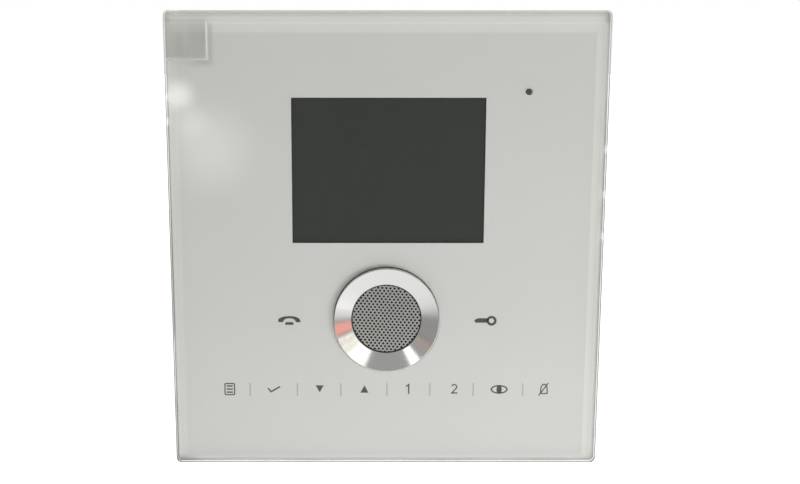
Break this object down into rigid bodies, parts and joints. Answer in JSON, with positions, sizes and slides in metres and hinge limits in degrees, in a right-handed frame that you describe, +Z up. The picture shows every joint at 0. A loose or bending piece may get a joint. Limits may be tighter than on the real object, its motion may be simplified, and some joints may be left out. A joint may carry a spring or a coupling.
{
  "type": "video intercom monitor",
  "caption": "Wall-hung video intercom monitor: a clear-fronted panel with a small display, a round speaker, a microphone hole and touch keys, hooked on a steel wall plate.",
  "frame": {"origin": "middle of the wall plate's back face, which lies on the wall", "axes": "+Z up, +Y into the wall, +X to the right of someone who faces the screen"},
  "size_m": [0.157, 0.0332, 0.166],
  "materials": {
    "clear_acrylic": "clear, polished",
    "clear_film": "clear film, slightly creased",
    "white_print": "silver-grey back print seen through the clear plate",
    "white_abs": "fine moulded texture",
    "display_glass": "dark, glossy",
    "tin_sheet": "tin plated",
    "black_foam": "matt foam",
    "polyimide": "amber film",
    "green_laminate": "solder resist",
    "turned_aluminium": "fine turned",
    "grille_steel": "punched sheet, satin",
    "basket_steel": "zinc plated",
    "speaker_paper": "matt",
    "copper_wire": "enamelled copper",
    "lead_sleeve": "satin",
    "black_plastic": "satin",
    "chip_resin": "matt epoxy",
    "black_rubber": "matt",
    "can_aluminium": "satin",
    "green_terminal": "satin",
    "plated_brass": "nickel plated",
    "zinc_screw": "zinc plated",
    "red_plastic": "satin",
    "white_nylon": "satin",
    "label_paper": "matt, blank",
    "zinc_sheet": "galvanised sheet"
  },
  "bodies": {
    "wall_plate": {"wall_plate": "zinc_sheet"},
    "monitor": {"adhesive_frame": "black_foam", "board_screw_1": "zinc_screw", "board_screw_2": "zinc_screw", "capacitor_1": "can_aluminium", "capacitor_2": "can_aluminium", "capacitor_3": "can_aluminium", "case_screw_1": "zinc_screw", "case_screw_2": "zinc_screw", "case_screw_3": "zinc_screw", "case_screw_4": "zinc_screw", "crystal": "can_aluminium", "display_cable": "polyimide", "display_connector": "black_plastic", "display_frame": "tin_sheet", "display_gasket": "black_foam", "display_panel": "display_glass", "film_tab": "clear_film", "front_frame": "white_abs", "front_plate": "clear_acrylic", "main_board": "green_laminate", "microphone": "can_aluminium", "microphone_boot": "black_rubber", "power_inductor": "chip_resin", "printed_backing": "white_print", "processor": "chip_resin", "radio_shield": "tin_sheet", "rating_label": "label_paper", "rear_shell": "white_abs", "speaker_basket": "basket_steel", "speaker_grille": "grille_steel", "speaker_lead": "lead_sleeve", "speaker_magnet": "basket_steel", "speaker_retainer": "black_plastic", "speaker_ring": "turned_aluminium", "speaker_seal": "black_foam", "switch_body": "red_plastic", "terminal_header": "green_terminal", "touch_board": "green_laminate", "touch_cable": "polyimide", "touch_connector": "black_plastic", "touch_light_guide": "clear_acrylic", "video_decoder": "chip_resin"},
    "speaker_diaphragm": {"speaker_cone": "speaker_paper", "voice_coil": "copper_wire"},
    "terminal_plug": {"terminal_plug": "green_terminal"},
    "terminal_screw_1": {"terminal_screw_1": "zinc_screw"},
    "terminal_screw_2": {"terminal_screw_2": "zinc_screw"},
    "terminal_screw_3": {"terminal_screw_3": "zinc_screw"},
    "terminal_screw_4": {"terminal_screw_4": "zinc_screw"},
    "terminal_clamp_1": {"terminal_clamp_1": "plated_brass"},
    "terminal_clamp_2": {"terminal_clamp_2": "plated_brass"},
    "terminal_clamp_3": {"terminal_clamp_3": "plated_brass"},
    "terminal_clamp_4": {"terminal_clamp_4": "plated_brass"},
    "switch_lever_1": {"switch_lever_1": "white_nylon"},
    "switch_lever_2": {"switch_lever_2": "white_nylon"},
    "switch_lever_3": {"switch_lever_3": "white_nylon"},
    "switch_lever_4": {"switch_lever_4": "white_nylon"},
    "switch_lever_5": {"switch_lever_5": "white_nylon"},
    "switch_lever_6": {"switch_lever_6": "white_nylon"}
  },
  "joints": [
    {"name": "unhook", "type": "slide", "parent": "wall_plate", "child": "monitor", "axis": [0, 0, 1], "range_m": [0, 0.008]},
    {"name": "diaphragm_travel", "type": "slide", "parent": "monitor", "child": "speaker_diaphragm", "axis": [0, -1, 0], "range_m": [-0.0004, 0.0004], "stiffness_N_per_m": 1500},
    {"name": "plug_pull", "type": "slide", "parent": "monitor", "child": "terminal_plug", "axis": [0, 0, -1], "range_m": [0, 0.008]},
    {"name": "turn_terminal_screw_1", "type": "hinge", "parent": "terminal_plug", "child": "terminal_screw_1", "pos_m": [0.00779, -0.007, -0.0389], "axis": [0, -1, 0], "range_deg": [0, 541]},
    {"name": "lift_terminal_clamp_1", "type": "slide", "parent": "terminal_plug", "child": "terminal_clamp_1", "axis": [0, 1, 0], "range_m": [0, 0.0006]},
    {"name": "turn_terminal_screw_2", "type": "hinge", "parent": "terminal_plug", "child": "terminal_screw_2", "pos_m": [0.01159, -0.007, -0.0389], "axis": [0, -1, 0], "range_deg": [0, 541]},
    {"name": "lift_terminal_clamp_2", "type": "slide", "parent": "terminal_plug", "child": "terminal_clamp_2", "axis": [0, 1, 0], "range_m": [0, 0.0006]},
    {"name": "turn_terminal_screw_3", "type": "hinge", "parent": "terminal_plug", "child": "terminal_screw_3", "pos_m": [0.01541, -0.007, -0.0389], "axis": [0, -1, 0], "range_deg": [0, 541]},
    {"name": "lift_terminal_clamp_3", "type": "slide", "parent": "terminal_plug", "child": "terminal_clamp_3", "axis": [0, 1, 0], "range_m": [0, 0.0006]},
    {"name": "turn_terminal_screw_4", "type": "hinge", "parent": "terminal_plug", "child": "terminal_screw_4", "pos_m": [0.01921, -0.007, -0.0389], "axis": [0, -1, 0], "range_deg": [0, 541]},
    {"name": "lift_terminal_clamp_4", "type": "slide", "parent": "terminal_plug", "child": "terminal_clamp_4", "axis": [0, 1, 0], "range_m": [0, 0.0006]},
    {"name": "slide_switch_lever_1", "type": "slide", "parent": "monitor", "child": "switch_lever_1", "axis": [0, 0, 1], "range_m": [0, 0.0019]},
    {"name": "slide_switch_lever_2", "type": "slide", "parent": "monitor", "child": "switch_lever_2", "axis": [0, 0, 1], "range_m": [0, 0.0019]},
    {"name": "slide_switch_lever_3", "type": "slide", "parent": "monitor", "child": "switch_lever_3", "axis": [0, 0, 1], "range_m": [0, 0.0019]},
    {"name": "slide_switch_lever_4", "type": "slide", "parent": "monitor", "child": "switch_lever_4", "axis": [0, 0, 1], "range_m": [0, 0.0019]},
    {"name": "slide_switch_lever_5", "type": "slide", "parent": "monitor", "child": "switch_lever_5", "axis": [0, 0, 1], "range_m": [0, 0.0019]},
    {"name": "slide_switch_lever_6", "type": "slide", "parent": "monitor", "child": "switch_lever_6", "axis": [0, 0, 1], "range_m": [0, 0.0019]}
  ],
  "couplings": [
    {"joint": "turn_terminal_screw_1", "follows": "lift_terminal_clamp_1", "rad_per_m": 15708},
    {"joint": "turn_terminal_screw_2", "follows": "lift_terminal_clamp_2", "rad_per_m": 15708},
    {"joint": "turn_terminal_screw_3", "follows": "lift_terminal_clamp_3", "rad_per_m": 15708},
    {"joint": "turn_terminal_screw_4", "follows": "lift_terminal_clamp_4", "rad_per_m": 15708}
  ]
}
